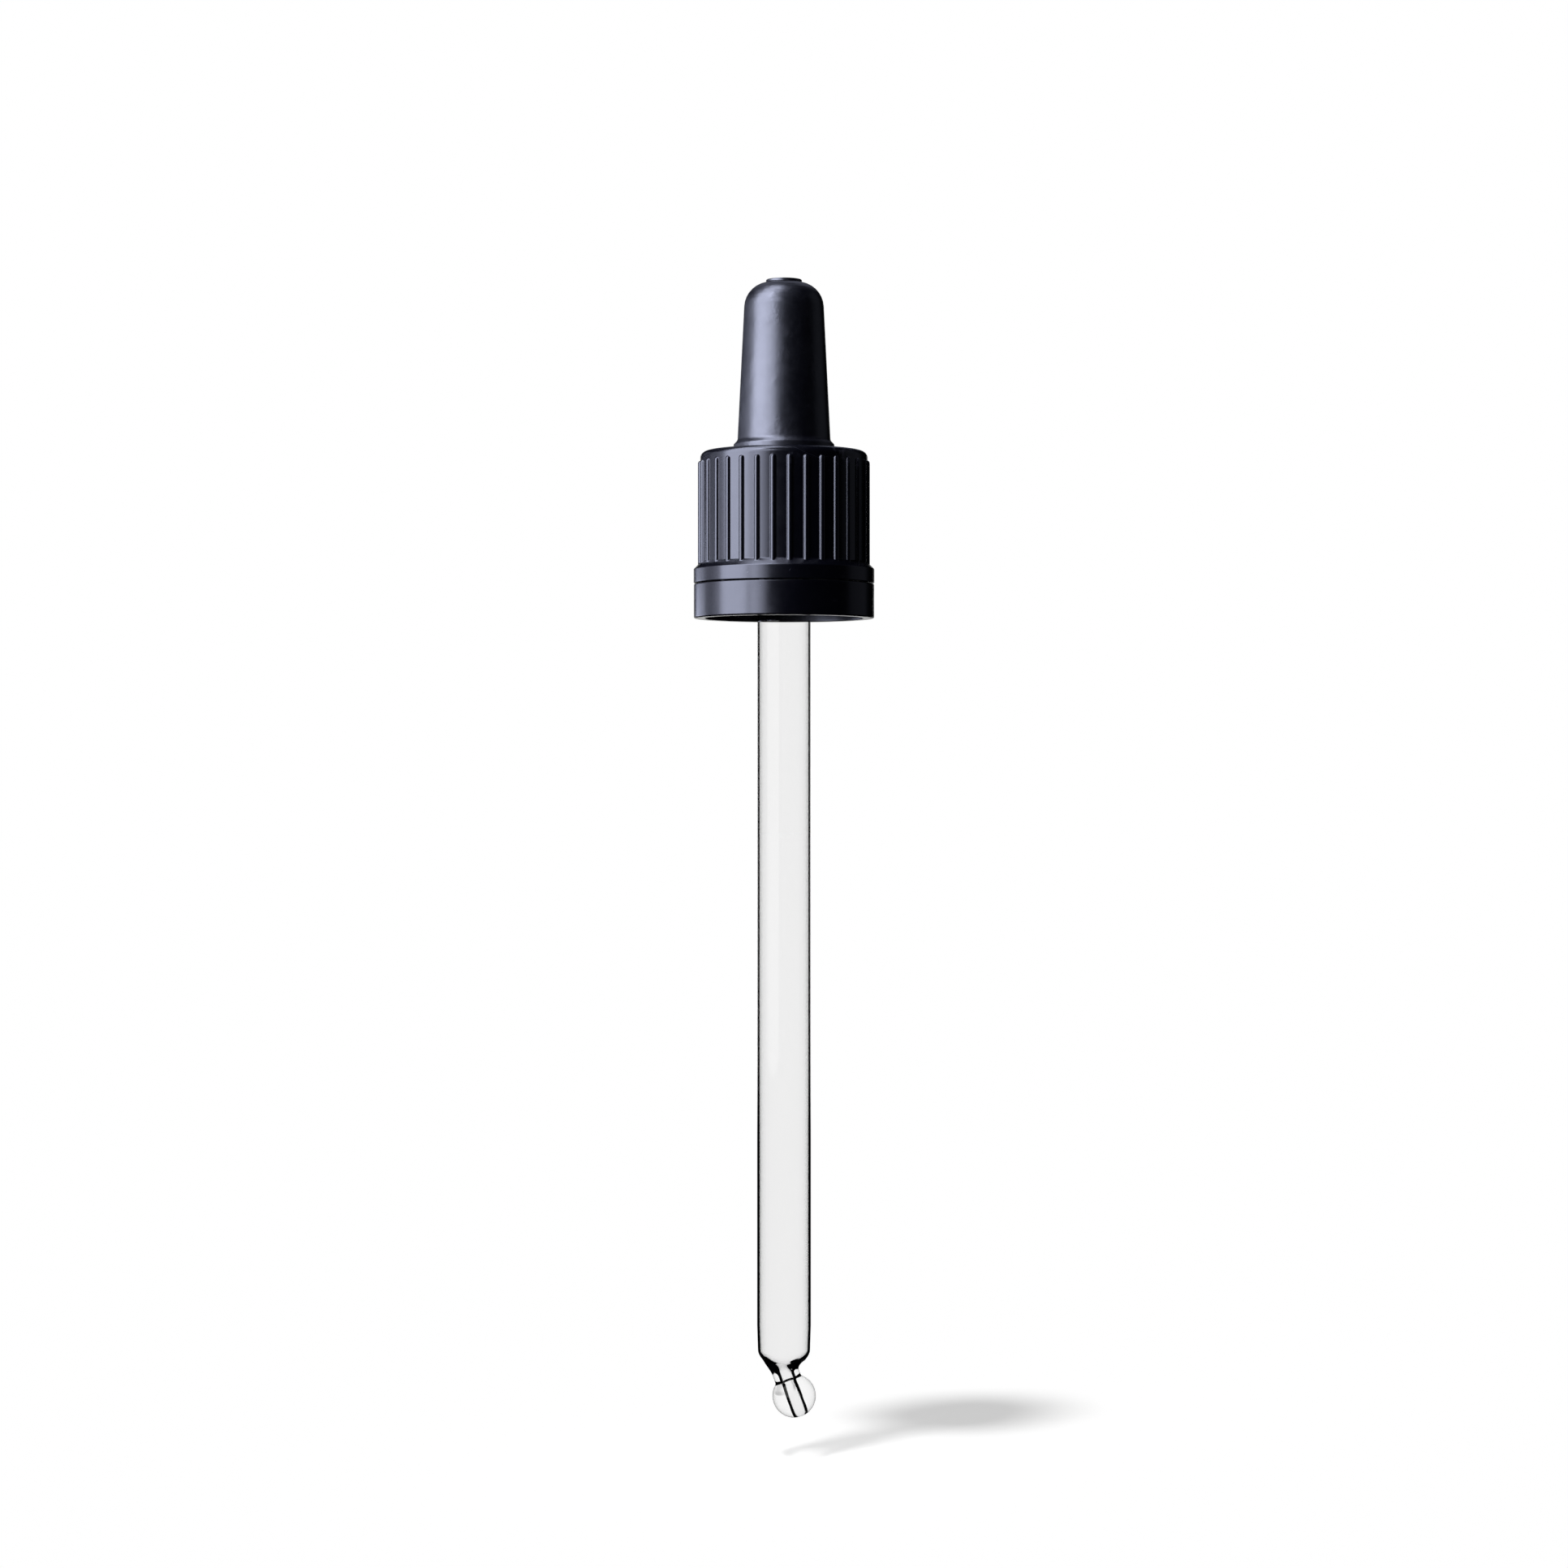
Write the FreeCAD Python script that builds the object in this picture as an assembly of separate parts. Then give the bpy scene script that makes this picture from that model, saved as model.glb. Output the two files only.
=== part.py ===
import FreeCAD, Part
import math
import os

# Dropper closure for a bottle with an 18 mm screw neck: a ribbed screw cap with a
# tamper-evident band, a rubber teat and a glass pipette with a bent ball tip.
# Millimetres. The origin is the centre of the plane where the bottle's rim meets the
# teat's sealing flange, and +Z points up, out of the bottle, along the closure's axis.

Vector = FreeCAD.Vector
AXIS = Vector(0, 0, 1)
CENTRE = Vector(0, 0, 0)

# ---- Clearances ----
turning_clearance = 0.10      # between the teat and the cap that turns round it
teat_grip = 0.05              # how much smaller the teat's bore is than the glass tube
pad_clearance = 0.15          # round each finger pad of the teat
bridge_parting = 0.03         # hairline between the broken bridges and the cap's skirt

# ---- Rubber teat ----
flange_margin = 0.65          # between the sealing flange and the cap's bore
flange_thickness = 1.70
sleeve_wall = 1.30            # of the neck that grips the glass tube
sleeve_length = 5.00
waist_wall = 2.10             # the groove that sits in the cap's hole
lip_overhang = 0.98           # how far the collar reaches over the cap
lip_height = 0.81
lip_slope_height = 0.53
lip_fillet = 0.60
teat_edge = 0.20
bulb_base_inset = 0.51        # from the lip in to the foot of the bulb
bulb_taper = 1.03             # how much narrower the bulb is at its top than at its foot
bulb_top = 25.28
bulb_dome_rounding = 3.28
nub_radius = 2.335
nub_height = 0.36
nub_edge = 0.14
teat_wall = 1.25

# ---- Finger pads: the two zones of the teat's wall that are pressed ----
pad_width = 6.00
pad_height = 10.60
pad_level = 14.30             # height of the middle of the pads

# ---- Glass pipette ----
tube_radius = 3.50
tube_wall = 0.30
tube_top = 5.50
tube_edge = 0.12
ball_level = -119.95          # height of the ball's centre
ball_radius = 2.82
bore_radius = 0.70            # through the neck and the ball
neck_radius = 1.74
neck_fillet = 0.90            # where the neck runs into the ball
tip_tilt = 20.0               # degrees that the tip leans towards +X
tip_bend_radius = 6.00
tip_straight = 2.80           # from the end of the bend to the ball's centre
shoulder_length = 3.15
shoulder_lead = 1.35          # how far above the bend the outer shoulder starts
cavity_floor_length = 3.15
cavity_floor_lead = 1.35
taper_length = 3.20
taper_radius = 3.40           # at the top of the shoulder

# ---- Screw cap ----
cap_bore_radius = 9.25        # the root of the thread
cap_wall = 1.67
cap_top_thickness = 1.40
cap_corner_rounding = 0.86
cap_inner_rounding = 0.50
hole_chamfer = 0.20
closure_height = 21.77        # from the band's lower rim to the top of the cap
rib_count = 32
rib_width = 0.75
rib_proud = 0.32
rib_top_drop = 1.25           # from the top of the cap to the ends of the ribs
rib_phase = 3.9               # degrees from the -Y direction towards +X
collar_bore_step = 1.10       # how much wider the bore is over the neck's bead
collar_wall = 1.44
collar_height = 1.83          # the straight face of the flared collar
collar_edge = 0.15
collar_bore_depth = 2.10      # from the skirt's lower edge to the cone inside
slit_edge = 0.12

# ---- Thread inside the cap ----
thread_pitch = 3.00
thread_turns = 1.50
thread_height = 0.90
thread_crest_width = 0.80
thread_root_width = 1.90
thread_start_depth = 9.50     # from the sealing plane down to the thread's lower end
thread_root_sink = 0.40       # how far the ridge reaches into the wall

# ---- Tamper-evident band ----
band_wall = 1.42
band_height = 4.47
band_edge = 0.20
slit_gap = 0.12
lug_count = 12
lug_reach = 0.60              # how far the lugs stand in, under the neck's bead
lug_angle = 16.0
lug_rise = 1.60               # from the band's rim to the foot of the lugs
lug_height = 1.70
lug_flat = 0.35               # the blunt inner edge of a lug
bridge_count = 12
bridge_width = 0.60
bridge_depth = 0.60
bridge_inset = 0.15

# ---- Radii that follow ----
cap_body_radius = cap_bore_radius + cap_wall
rib_radius = cap_body_radius + rib_proud
thread_crest_radius = cap_bore_radius - thread_height
collar_bore_radius = cap_bore_radius + collar_bore_step
collar_radius = collar_bore_radius + collar_wall
band_bore_radius = collar_bore_radius
band_radius = band_bore_radius + band_wall
lug_radius = band_bore_radius - lug_reach
sleeve_radius = tube_radius + sleeve_wall
waist_radius = tube_radius + waist_wall
hole_radius = waist_radius + turning_clearance
lip_radius = waist_radius + lip_overhang
flange_radius = cap_bore_radius - flange_margin
bulb_base_radius = lip_radius - bulb_base_inset
bulb_shoulder_radius = bulb_base_radius - bulb_taper   # where the taper would meet the top

# ---- Levels that follow ----
cap_underside = flange_thickness + turning_clearance
cap_top = cap_underside + cap_top_thickness
band_rim = cap_top - closure_height
band_top = band_rim + band_height
skirt_edge = band_top + slit_gap
collar_top = skirt_edge + collar_height
lip_underside = cap_top + turning_clearance
bulb_base = lip_underside + lip_height + lip_slope_height
bend_start = (ball_level + tip_bend_radius * math.sin(math.radians(tip_tilt))
              + tip_straight * math.cos(math.radians(tip_tilt)))


def rounded_outline(corners):
    """A closed wire in the XZ half-plane through (radius, height, rounding) corners."""
    points = [Vector(r, 0, z) for r, z, _ in corners]
    edges = []
    starts, ends = [], []
    count = len(corners)
    for i in range(count):
        here, rounding = points[i], corners[i][2]
        back = points[i - 1].sub(here)
        on = points[(i + 1) % count].sub(here)
        if rounding == 0:
            starts.append(here)
            ends.append(here)
            edges.append(None)
            continue
        half = back.getAngle(on) / 2
        reach = min(rounding / math.tan(half), 0.49 * back.Length, 0.49 * on.Length)
        radius = reach * math.tan(half)
        u, v = Vector(back).normalize(), Vector(on).normalize()
        bisector = u.add(v).normalize()
        starts.append(here.add(u.multiply(reach)))
        ends.append(here.add(v.multiply(reach)))
        middle = here.add(bisector.multiply(radius / math.sin(half) - radius))
        edges.append(Part.Arc(starts[i], middle, ends[i]).toShape())
    wire = []
    for i in range(count):
        if edges[i] is not None:
            wire.append(edges[i])
        after = (i + 1) % count
        if ends[i].distanceToPoint(starts[after]) > 1e-6:
            wire.append(Part.makeLine(ends[i], starts[after]))
    return Part.Wire(wire)


def turned(corners):
    """The solid that the outline sweeps round the Z axis."""
    return Part.Face(rounded_outline(corners)).revolve(CENTRE, AXIS, 360)


def copies_round(shape, count, phase=0.0):
    """Evenly spaced copies of a shape round the Z axis."""
    result = []
    for i in range(count):
        copy = shape.copy()
        copy.rotate(CENTRE, AXIS, phase + 360.0 * i / count)
        result.append(copy)
    return result


# ---- Teat ----
def bulb_radius(z):
    """Outer radius of the teat's tapered wall at height z."""
    share = (z - bulb_base) / (bulb_top - bulb_base)
    return bulb_base_radius + share * (bulb_shoulder_radius - bulb_base_radius)


def whole_teat():
    """The teat before its finger pads are parted from it: one hollow turned moulding."""
    seat = tube_radius - teat_grip
    cavity_base = tube_top + teat_wall
    cavity_top = bulb_top - teat_wall
    return turned([
        (0, bulb_top + nub_height, 0),
        (nub_radius, bulb_top + nub_height, nub_edge),
        (nub_radius, bulb_top, nub_edge),
        (bulb_shoulder_radius, bulb_top, bulb_dome_rounding),
        (bulb_base_radius, bulb_base, lip_fillet),
        (lip_radius, lip_underside + lip_height, teat_edge),
        (lip_radius, lip_underside, teat_edge),
        (waist_radius, lip_underside, 0),
        (waist_radius, flange_thickness, 0),
        (flange_radius, flange_thickness, teat_edge),
        (flange_radius, 0, teat_edge),
        (sleeve_radius, 0, 0),
        (sleeve_radius, -sleeve_length, teat_edge),
        (seat, -sleeve_length, teat_edge),
        (seat, tube_top, 0),
        (bulb_radius(cavity_base) - teat_wall, cavity_base, teat_wall),
        (bulb_shoulder_radius - teat_wall, cavity_top, bulb_dome_rounding - teat_wall),
        (0, cavity_top, 0),
    ])


def pad_prism(clearance, side):
    """A round-ended bar along X through one side's finger zone: side is -1 or +1."""
    half = pad_width / 2 + clearance
    straight = pad_height / 2 - pad_width / 2
    upper, lower = pad_level + straight, pad_level - straight
    outline = Part.Wire([
        Part.makeLine(Vector(0, half, lower), Vector(0, half, upper)),
        Part.Arc(Vector(0, half, upper), Vector(0, 0, upper + half),
                 Vector(0, -half, upper)).toShape(),
        Part.makeLine(Vector(0, -half, upper), Vector(0, -half, lower)),
        Part.Arc(Vector(0, -half, lower), Vector(0, 0, lower - half),
                 Vector(0, half, lower)).toShape(),
    ])
    return Part.Face(outline).extrude(Vector(side * 2 * bulb_base_radius, 0, 0))


# ---- Pipette ----
def tip_point(distance):
    """Centre and direction of the pipette's axis at a distance past the bend's start."""
    tilt = math.radians(tip_tilt)
    arc_length = tip_bend_radius * tilt
    if distance <= 0:
        return Vector(0, 0, bend_start - distance), Vector(0, 0, -1)
    angle = min(distance / tip_bend_radius, tilt)
    direction = Vector(math.sin(angle), 0, -math.cos(angle))
    centre = Vector(tip_bend_radius * (1 - math.cos(angle)), 0,
                    bend_start - tip_bend_radius * math.sin(angle))
    straight = max(distance - arc_length, 0)
    return centre.add(Vector(direction).multiply(straight)), direction


def narrowing(upper, lower, start, length, sections=9):
    """A bent funnel along the pipette's axis, from one radius down to another."""
    rings = []
    for i in range(sections):
        share = i / (sections - 1)
        radius = lower + (upper - lower) * (1 + math.cos(math.pi * share)) / 2
        centre, direction = tip_point(start + share * length)
        rings.append(Part.Wire(Part.makeCircle(radius, centre, direction)))
    return Part.makeLoft(rings, True)


def ball_tip():
    """The straight end of the neck with the ball, turned about its own tilted axis."""
    reach = ball_radius + neck_fillet
    fillet_offset = neck_radius + neck_fillet
    drop = math.sqrt(reach ** 2 - fillet_offset ** 2)
    fillet_centre = Vector(fillet_offset, 0, -tip_straight + drop)
    ball_centre = Vector(0, 0, -tip_straight)
    meeting = ball_centre.add(
        fillet_centre.sub(ball_centre).multiply(ball_radius / reach))
    inward = ball_centre.sub(fillet_centre).normalize()
    level = Vector(-1, 0, 0)
    fillet_middle = fillet_centre.add(
        inward.add(level).normalize().multiply(neck_fillet))
    outline = Part.Wire([
        Part.makeLine(CENTRE, Vector(neck_radius, 0, 0)),
        Part.makeLine(Vector(neck_radius, 0, 0), Vector(neck_radius, 0, fillet_centre.z)),
        Part.Arc(Vector(neck_radius, 0, fillet_centre.z), fillet_middle, meeting).toShape(),
        Part.Arc(meeting, ball_centre.add(Vector(ball_radius, 0, 0)),
                 ball_centre.add(Vector(0, 0, -ball_radius))).toShape(),
        Part.makeLine(ball_centre.add(Vector(0, 0, -ball_radius)), CENTRE),
    ])
    solid = Part.Face(outline).revolve(CENTRE, AXIS, 360)
    solid.rotate(CENTRE, Vector(0, -1, 0), tip_tilt)
    bend_end, _ = tip_point(tip_bend_radius * math.radians(tip_tilt))
    solid.translate(bend_end)
    return solid


def glass_pipette():
    arc_length = tip_bend_radius * math.radians(tip_tilt)
    shoulder_top = bend_start + shoulder_lead
    taper_top = shoulder_top + taper_length
    barrel = turned([
        (0, tube_top, 0),
        (tube_radius, tube_top, tube_edge),
        (tube_radius, taper_top, 0),
        (taper_radius, shoulder_top, 0),
        (0, shoulder_top, 0),
    ])
    shoulder = narrowing(taper_radius, neck_radius, -shoulder_lead, shoulder_length)
    neck_bend = narrowing(neck_radius, neck_radius, shoulder_length - shoulder_lead,
                          arc_length - shoulder_length + shoulder_lead, 3)
    outside = barrel.multiFuse([shoulder, neck_bend, ball_tip()])

    inner = tube_radius - tube_wall
    inner_foot = taper_radius - tube_wall
    floor_top = bend_start + cavity_floor_lead
    floor_end = cavity_floor_length - cavity_floor_lead
    hollow = turned([
        (0, tube_top + tube_edge, 0),
        (inner, tube_top + tube_edge, 0),
        (inner, taper_top, 0),
        (inner_foot, floor_top, 0),
        (0, floor_top, 0),
    ])
    floor = narrowing(inner_foot, bore_radius, -cavity_floor_lead, cavity_floor_length)
    bore_bend = narrowing(bore_radius, bore_radius, floor_end, arc_length - floor_end, 4)
    bend_end, direction = tip_point(arc_length)
    bore = Part.makeCylinder(bore_radius, tip_straight + 2 * ball_radius, bend_end,
                             direction)
    return outside.cut(hollow.multiFuse([floor, bore_bend, bore]))


# ---- Cap ----
def rib():
    """One round-nosed grip rib, standing at the +X side of the cap."""
    nose = rib_width / 2
    centre = rib_radius - nose
    foot = collar_top
    head = cap_top - rib_top_drop - nose
    bar = Part.makeCylinder(nose, head - foot, Vector(centre, 0, foot))
    return bar.fuse(Part.makeSphere(nose, Vector(centre, 0, head)))


def thread_ridge():
    """The helical ridge that turns on the bottle's thread, with flanks run into the wall."""
    helix = Part.makeHelix(thread_pitch, thread_pitch * thread_turns, cap_bore_radius)
    spread = (thread_root_width - thread_crest_width) / 2 / thread_height
    sunk = cap_bore_radius + thread_root_sink
    half_crest = thread_crest_width / 2
    half_sunk = half_crest + spread * (sunk - thread_crest_radius)
    section = Part.makePolygon([
        Vector(sunk, 0, -half_sunk),
        Vector(thread_crest_radius, 0, -half_crest),
        Vector(thread_crest_radius, 0, half_crest),
        Vector(sunk, 0, half_sunk),
        Vector(sunk, 0, -half_sunk),
    ])
    ridge = Part.Wire(helix).makePipeShell([section], True, True)
    ridge.translate(Vector(0, 0, -thread_start_depth))
    return ridge


def screw_cap():
    flare = collar_radius - cap_body_radius
    cone_foot = skirt_edge + collar_bore_depth
    body = turned([
        (hole_radius, cap_top, hole_chamfer),
        (cap_body_radius, cap_top, cap_corner_rounding),
        (cap_body_radius, collar_top + flare, collar_edge),
        (collar_radius, collar_top, collar_edge),
        (collar_radius, skirt_edge, slit_edge),
        (collar_bore_radius, skirt_edge, 0),
        (collar_bore_radius, cone_foot, 0),
        (cap_bore_radius, cone_foot + collar_bore_step, 0),
        (cap_bore_radius, cap_underside, cap_inner_rounding),
        (hole_radius, cap_underside, hole_chamfer),
    ])
    ribs = copies_round(rib(), rib_count, rib_phase - 90)
    return body.multiFuse(ribs + [thread_ridge()])


# ---- Band ----
def tamper_band():
    ring = turned([
        (band_bore_radius, band_top, 0),
        (band_radius, band_top, band_edge),
        (band_radius, band_rim, band_edge),
        (band_bore_radius, band_rim, band_edge),
    ])
    foot = band_rim + lug_rise
    sunk = band_bore_radius + thread_root_sink
    section = Part.makePolygon([
        Vector(sunk, 0, foot),
        Vector(band_bore_radius, 0, foot),
        Vector(lug_radius, 0, foot + lug_height - lug_flat),
        Vector(lug_radius, 0, foot + lug_height),
        Vector(sunk, 0, foot + lug_height),
        Vector(sunk, 0, foot),
    ])
    lug = Part.Face(section).revolve(CENTRE, AXIS, lug_angle)
    return ring.multiFuse(copies_round(lug, lug_count, -lug_angle / 2))


def break_bridges():
    """Short posts in the slit that tear when the cap is first opened, left on the band."""
    near = band_bore_radius + bridge_inset
    post = Part.makeBox(bridge_depth, bridge_width, slit_gap - bridge_parting,
                        Vector(near, -bridge_width / 2, band_top))
    return Part.makeCompound(copies_round(post, bridge_count, 180.0 / bridge_count))


def build():
    teat = whole_teat()
    pads = {side: teat.common(pad_prism(0, side)) for side in (-1, 1)}
    frame = teat.cut(pad_prism(pad_clearance, -1)).cut(pad_prism(pad_clearance, 1))
    return {
        "rubber_teat": frame,
        "teat_pad_left": pads[-1],
        "teat_pad_right": pads[1],
        "glass_pipette": glass_pipette(),
        "screw_cap": screw_cap(),
        "tamper_band": tamper_band(),
        "break_bridges": break_bridges(),
    }


os.makedirs("parts", exist_ok=True)
for node, shape in build().items():
    solids = shape.Solids
    shape = solids[0] if len(solids) == 1 else Part.makeCompound(solids)
    shape.exportStep("parts/" + node + ".step")
    box = shape.BoundBox
    print(f"{node}: {len(solids)} solids, valid {shape.isValid()}, {shape.Volume:.1f} mm3, "
          f"x {box.XMin:.2f} to {box.XMax:.2f}, z {box.ZMin:.2f} to {box.ZMax:.2f}")
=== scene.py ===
# %% [markdown]
# # A dropper closure in rubber, moulded plastic and drawn glass
# The object is the closure of a small bottle: a rubber teat, a ribbed screw cap with a
# tear-off band under it, and a long glass pipette whose bent tip ends in a ball. The CAD
# model carries the sizes and the joints. This script gives it its looks.
#
# Almost every piece was moulded or drawn round one axis, so the meshes are made the same
# way: an outline of a few corners is rounded and swept round the axis. Modelling by hand
# would also work, but an outline keeps every wall, lip and rounding as a number.

# %% Load the frame
import math

import bmesh
import bpy
import numpy as np
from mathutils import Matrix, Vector


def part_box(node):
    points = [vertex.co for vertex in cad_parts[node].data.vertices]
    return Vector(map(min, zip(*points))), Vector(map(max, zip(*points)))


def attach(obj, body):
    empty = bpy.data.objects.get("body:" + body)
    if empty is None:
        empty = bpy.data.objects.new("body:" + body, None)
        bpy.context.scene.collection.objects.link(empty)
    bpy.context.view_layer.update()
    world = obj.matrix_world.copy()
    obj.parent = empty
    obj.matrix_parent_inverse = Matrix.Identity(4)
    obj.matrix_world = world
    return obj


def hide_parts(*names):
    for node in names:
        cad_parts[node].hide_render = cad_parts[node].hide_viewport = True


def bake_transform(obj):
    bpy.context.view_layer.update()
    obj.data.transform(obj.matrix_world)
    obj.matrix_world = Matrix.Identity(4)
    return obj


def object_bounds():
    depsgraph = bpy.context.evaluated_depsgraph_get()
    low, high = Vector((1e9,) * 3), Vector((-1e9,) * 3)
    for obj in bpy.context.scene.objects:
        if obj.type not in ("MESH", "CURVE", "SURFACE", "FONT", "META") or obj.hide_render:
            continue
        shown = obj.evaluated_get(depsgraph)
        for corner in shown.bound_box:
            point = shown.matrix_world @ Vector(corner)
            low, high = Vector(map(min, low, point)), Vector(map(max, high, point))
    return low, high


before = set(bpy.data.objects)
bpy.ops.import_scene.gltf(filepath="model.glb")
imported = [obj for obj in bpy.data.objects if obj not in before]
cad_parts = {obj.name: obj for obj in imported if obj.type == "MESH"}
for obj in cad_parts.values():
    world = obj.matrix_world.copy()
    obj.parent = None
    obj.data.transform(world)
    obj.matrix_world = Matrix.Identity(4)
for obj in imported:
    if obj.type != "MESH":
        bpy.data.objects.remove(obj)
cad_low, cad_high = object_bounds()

MM = 0.001


def in_mm(length):
    return round(length / MM, 2)


print("CAD box in mm:", [in_mm(v) for v in (*cad_low, *cad_high)])

# %% [markdown]
# ## Sizes
# Most levels and radii where pieces meet are read from the boxes of the CAD nodes, since
# typing them in again could miss a change. What a box can't tell, such as an inner wall or
# the rounding of an edge, is a named value in metres, given where it is first needed.

# %% Sizes read from the frame
cap_low, cap_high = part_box("screw_cap")
band_low, band_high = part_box("tamper_band")
teat_low, teat_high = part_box("rubber_teat")
glass_low, glass_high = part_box("glass_pipette")

cap_top = cap_high.z
skirt_edge = cap_low.z
collar_radius = cap_high.x
band_rim, band_top = band_low.z, band_high.z
band_radius = band_high.x
flange_radius = teat_high.x
sleeve_end = teat_low.z
nub_top = teat_high.z
tube_radius = -glass_low.x
tube_top = glass_high.z
print("cap top", in_mm(cap_top), "skirt", in_mm(skirt_edge),
      "tube radius", in_mm(tube_radius))

# %% [markdown]
# ## From an outline to a mesh
# A turned piece needs three steps. First the corners of its outline are replaced by arcs,
# because a real edge always catches a line of light. Then the outline becomes a grid of
# points, one ring per outline point. Last the grid is closed into a mesh.
#
# Close beside each arc the outline gets one more point. Without that narrow strip, smooth
# shading would seem to spread the rounding over the whole wall next to it. A bevel modifier
# could round the corners too, but with one number of steps for all of them.

# %% Outline helpers
ARC_STEP = math.radians(11)     # the largest turn between two points of a rounding
FEWEST_STEPS = 3                # in any rounding
SUPPORT = 0.05 * MM             # width of the narrow strip beside a rounding
SAME_RADIUS = 1e-7              # metres by which two equal radii may differ


def rounded(corners, closed=True):
    """Points along an outline of (radius, height, rounding) corners. The end corners of an
    open outline have no rounding."""
    runs = []
    for i, (radius, height, rounding) in enumerate(corners):
        here = np.array([radius, height])
        if rounding == 0:
            runs.append([here])
            continue
        back = np.array(corners[i - 1][:2]) - here
        on = np.array(corners[(i + 1) % len(corners)][:2]) - here
        back, on = back / np.linalg.norm(back), on / np.linalg.norm(on)
        half = math.acos(np.clip(back @ on, -1, 1)) / 2
        reach = rounding / math.tan(half)
        bisector = (back + on) / np.linalg.norm(back + on)
        centre = here + bisector * rounding / math.sin(half)
        first, last = here + back * reach - centre, here + on * reach - centre
        turn = math.pi - 2 * half
        steps = max(FEWEST_STEPS, math.ceil(turn / ARC_STEP))
        shares = [k / steps for k in range(steps + 1)]
        runs.append([
            centre + (math.sin((1 - s) * turn) * first
                      + math.sin(s * turn) * last) / math.sin(turn)
            for s in shares
        ])
    return with_supports(runs, closed)


def with_supports(runs, closed):
    """The outline's points, with one more point close to each end of its longer runs."""
    points = []
    for i, run in enumerate(runs):
        points.extend(run)
        if i == len(runs) - 1 and not closed:
            break
        start, end = run[-1], runs[(i + 1) % len(runs)][0]
        length = np.linalg.norm(end - start)
        if length > 4 * SUPPORT:
            along = (end - start) / length * SUPPORT
            points.extend([start + along, end - along])
    return np.array(points)


def with_levels(outline, radius, levels):
    """The outline with more points on its upright run at a radius, at the given heights."""
    points = []
    for start, end in zip(outline, np.roll(outline, -1, axis=0)):
        points.append(start)
        if abs(start[0] - radius) + abs(end[0] - radius) < SAME_RADIUS:
            low, high = sorted((start[1], end[1]))
            inside = sorted((z for z in levels if low < z < high), reverse=end[1] < start[1])
            points.extend([radius, z] for z in inside)
    return np.array(points)


def subdivided(outline, longest, closed=False):
    """The outline with every run longer than a limit cut into equal pieces."""
    points = []
    for start, end in zip(outline, np.roll(outline, -1, axis=0) if closed else outline[1:]):
        pieces = max(1, math.ceil(np.linalg.norm(end - start) / longest))
        points.extend(start + (end - start) * k / pieces for k in range(pieces))
    if not closed:
        points.append(outline[-1])
    return np.array(points)


# %% Mesh helpers
SHARP_ANGLE = math.radians(50)
WELD = 1e-8                     # metres; points closer together than this become one


def open_edges(mesh):
    """How many edges don't join exactly two faces: none on a closed mesh."""
    used = np.zeros(len(mesh.loops), int)
    mesh.loops.foreach_get("edge_index", used)
    return int((np.bincount(used, minlength=len(mesh.edges)) != 2).sum())


def piece_from(name, bm):
    """A smooth-shaded object from a bmesh, with its sharp corners marked."""
    bmesh.ops.remove_doubles(bm, verts=bm.verts, dist=WELD)
    bmesh.ops.recalc_face_normals(bm, faces=bm.faces)
    mesh = bpy.data.meshes.new(name)
    bm.to_mesh(mesh)
    bm.free()
    mesh.shade_smooth()
    mesh.set_sharp_from_angle(angle=SHARP_ANGLE)
    piece = bpy.data.objects.new(name, mesh)
    bpy.context.scene.collection.objects.link(piece)
    print(f"{name}: {len(mesh.polygons)} faces, {open_edges(mesh)} open edges")
    return piece


def add_grid(bm, rings, close_round=True):
    """Joins an array of rings of points, (ring, point, xyz), with four-sided faces. The
    last ring joins the first."""
    ring_count, point_count = rings.shape[:2]
    verts = [[bm.verts.new(point) for point in ring] for ring in rings]
    for i in range(ring_count):
        upper, lower = verts[i], verts[(i + 1) % ring_count]
        for j in range(point_count if close_round else point_count - 1):
            k = (j + 1) % point_count
            bm.faces.new((upper[j], upper[k], lower[k], lower[j]))
    return verts


def swept_round(outline, angles, relief=None):
    """Rings of an outline turned to each angle. relief(radius, height, angle) is added to
    the radius."""
    radius, angle = np.meshgrid(outline[:, 0], angles, indexing="ij")
    height = np.repeat(outline[:, 1:], len(angles), axis=1)
    if relief is not None:
        radius = radius + relief(radius, height, angle)
    return np.stack([radius * np.cos(angle), radius * np.sin(angle), height], axis=-1)


def turned_piece(name, outline, angles, relief=None):
    """A closed ring-shaped piece, swept all the way round."""
    bm = bmesh.new()
    add_grid(bm, swept_round(outline, angles, relief))
    return piece_from(name, bm)


def even_angles(count):
    return np.arange(count) * 2 * math.pi / count
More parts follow.
